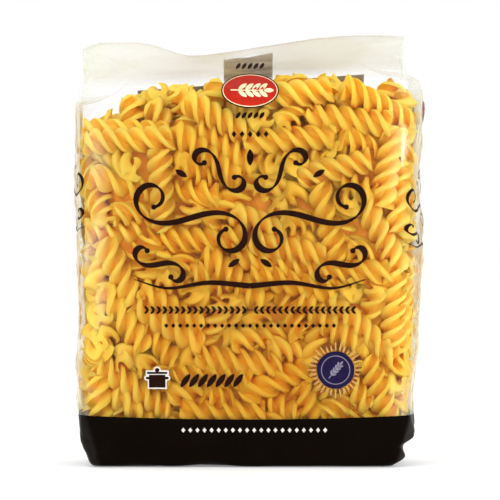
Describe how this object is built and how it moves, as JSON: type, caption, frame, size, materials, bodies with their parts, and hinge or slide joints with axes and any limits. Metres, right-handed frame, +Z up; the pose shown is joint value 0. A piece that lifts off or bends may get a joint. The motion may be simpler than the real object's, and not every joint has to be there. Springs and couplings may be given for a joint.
{
  "type": "pasta packet",
  "caption": "Clear, sealed, block-bottomed film packet of spiral pasta, with a dark foot, bulging side gussets and a folded top held by a label.",
  "frame": {"origin": "middle of the outline's box at the level of the flat base", "axes": "+Z up, -Y out of the printed front, +X to the right seen from the front"},
  "size_m": [0.1558, 0.0636, 0.1906],
  "materials": {
    "film": "thin clear glossy film over yellow pasta, printed dark at the foot",
    "label": "matt taupe paper"
  },
  "bodies": {
    "root": {"bag": "film", "closure_label": "label"}
  },
  "joints": []
}
